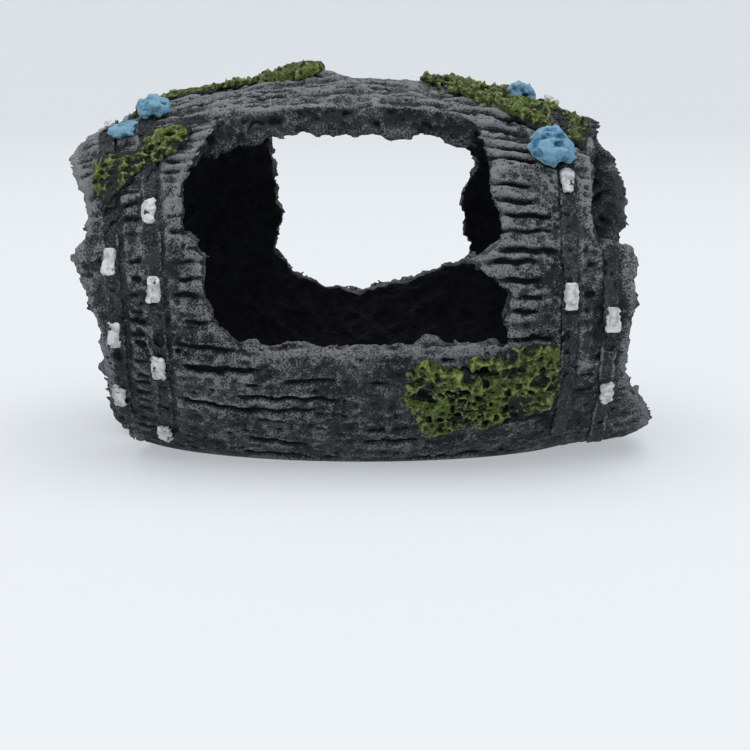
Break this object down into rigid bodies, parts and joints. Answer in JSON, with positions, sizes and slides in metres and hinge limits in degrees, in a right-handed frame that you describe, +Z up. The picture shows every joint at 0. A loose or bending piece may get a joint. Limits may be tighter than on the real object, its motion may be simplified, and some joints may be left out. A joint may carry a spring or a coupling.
{
  "type": "aquarium cave ornament",
  "caption": "Broken wooden barrel lying on its side, cast in resin, with ragged windows front and back and open ends for fish to swim through.",
  "frame": {"origin": "on the ground, at the centre of the flat ground into the belly of the barrel", "axes": "+X along the barrel from its left end to its right end, -Y out through the large front window, +Z up"},
  "size_m": [0.105, 0.0721, 0.0671],
  "materials": {
    "charcoal_resin": "matt charcoal, dry-brushed light grey on the ridges",
    "hoop_resin": "matt, smoother than the wood",
    "white_paint": "matt chipped paint",
    "moss_paint": "matt, rough and pitted",
    "blue_stone": "satin paint on a lumpy stone"
  },
  "bodies": {
    "root": {"shell": "charcoal_resin", "hoop_left_outer": "hoop_resin", "hoop_left_inner": "hoop_resin", "hoop_right_inner": "hoop_resin", "hoop_right_outer": "hoop_resin", "rivets_left_outer": "white_paint", "rivets_left_inner": "white_paint", "rivets_right_inner": "white_paint", "rivets_right_outer": "white_paint", "moss_front_left": "moss_paint", "moss_top_left": "moss_paint", "moss_top_right": "moss_paint", "moss_front_right": "moss_paint", "moss_back_right": "moss_paint", "moss_back_left": "moss_paint", "stone_left_high": "blue_stone", "stone_left_flat": "blue_stone", "stone_right_high": "blue_stone", "stone_right_large": "blue_stone", "stone_back_left": "blue_stone", "stone_back_right_high": "blue_stone", "stone_back_right_low": "blue_stone"}
  },
  "joints": []
}
